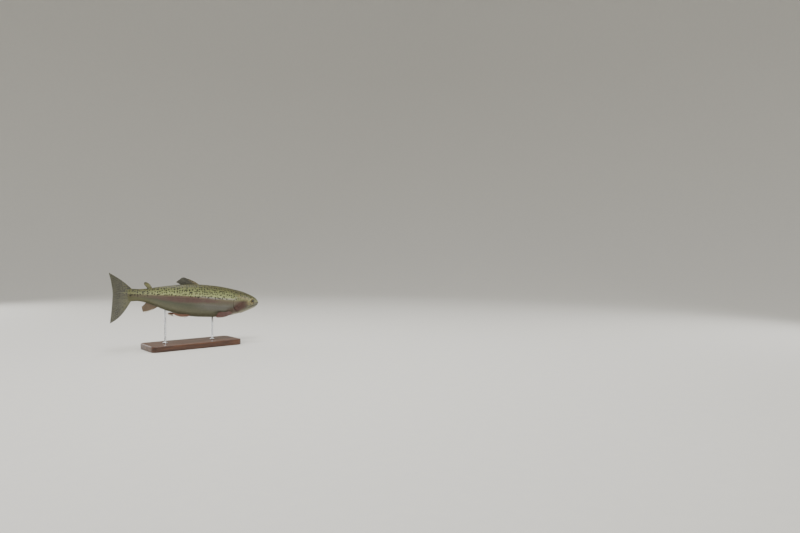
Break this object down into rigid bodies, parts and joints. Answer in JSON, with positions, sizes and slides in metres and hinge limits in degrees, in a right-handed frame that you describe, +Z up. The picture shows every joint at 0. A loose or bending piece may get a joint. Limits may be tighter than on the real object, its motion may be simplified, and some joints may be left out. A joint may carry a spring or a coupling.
{
  "type": "rainbow trout display model",
  "caption": "Life-size rainbow trout, swimming in a gentle curve, held over a flat wooden base by slim steel rods.",
  "frame": {"origin": "centre of the stand's underside, on the surface it stands on", "axes": "+X towards the trout's head, +Y towards its left side, +Z up"},
  "size_m": [0.491, 0.124, 0.2441],
  "materials": {
    "skin": "wet, scaled skin: olive back with black spots, pink side stripe, silver flank, pale belly",
    "fin": "thin, ribbed, half clear fin skin",
    "eye": "clear gloss over a gold ringed black pupil",
    "stand_wood": "oiled dark walnut",
    "stand_steel": "satin stainless steel"
  },
  "bodies": {
    "root": {"head": "skin", "lower_jaw": "skin", "upper_jaw_left": "skin", "upper_jaw_right": "skin", "gill_cover_left": "skin", "gill_cover_right": "skin", "trunk": "skin", "tail": "skin", "dorsal_fin": "fin", "adipose_fin": "fin", "anal_fin": "fin", "caudal_fin": "fin", "pectoral_fin_left": "fin", "pectoral_fin_right": "fin", "pelvic_fin_left": "fin", "pelvic_fin_right": "fin", "eye_left": "eye", "eye_right": "eye", "stand_base": "stand_wood", "stand_rod_front": "stand_steel", "stand_rod_rear": "stand_steel"}
  },
  "joints": []
}
